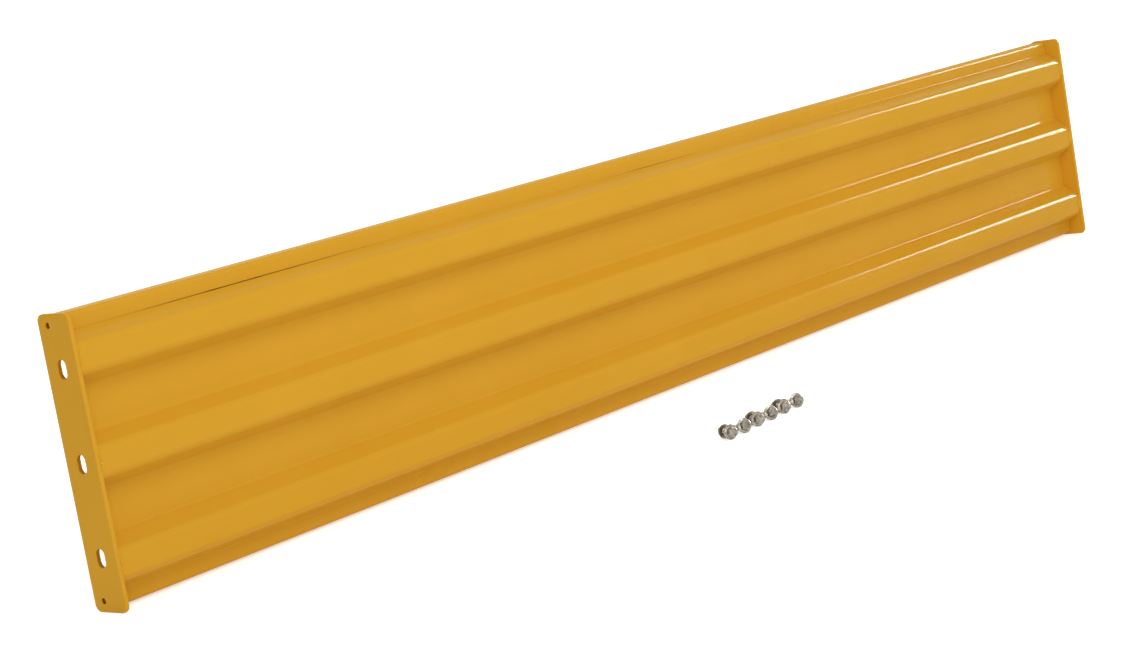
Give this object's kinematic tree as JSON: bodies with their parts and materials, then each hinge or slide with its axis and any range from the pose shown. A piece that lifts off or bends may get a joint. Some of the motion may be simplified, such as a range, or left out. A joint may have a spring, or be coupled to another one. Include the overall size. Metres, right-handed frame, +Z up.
{
  "type": "industrial guardrail section",
  "caption": "Ribbed steel guardrail section with a slotted bolting plate welded to each end, painted safety yellow, with its loose flange bolts and nuts.",
  "frame": {"origin": "on the outer face of the left end plate, at mid-depth, halfway between the middle and the lower bolt slot", "axes": "+X along the rail from the left to the right end plate, -Y out of the ribbed front, +Z up"},
  "size_m": [2.438, 0.3831, 0.3811],
  "materials": {
    "safety_paint": "gloss",
    "zinc_plate": "satin"
  },
  "bodies": {
    "root": {"rail_panel": "safety_paint", "left_end_plate": "safety_paint", "right_end_plate": "safety_paint", "left_weld_top_rib": "safety_paint", "left_weld_middle_rib": "safety_paint", "left_weld_bottom_rib": "safety_paint", "left_weld_upper_valley": "safety_paint", "left_weld_lower_valley": "safety_paint", "right_weld_top_rib": "safety_paint", "right_weld_middle_rib": "safety_paint", "right_weld_bottom_rib": "safety_paint", "right_weld_upper_valley": "safety_paint", "right_weld_lower_valley": "safety_paint", "flange_bolt_1": "zinc_plate", "flange_bolt_2": "zinc_plate", "flange_bolt_3": "zinc_plate", "flange_bolt_4": "zinc_plate", "flange_bolt_5": "zinc_plate", "flange_bolt_6": "zinc_plate", "flange_nut_1": "zinc_plate", "flange_nut_3": "zinc_plate", "flange_nut_5": "zinc_plate"}
  },
  "joints": []
}
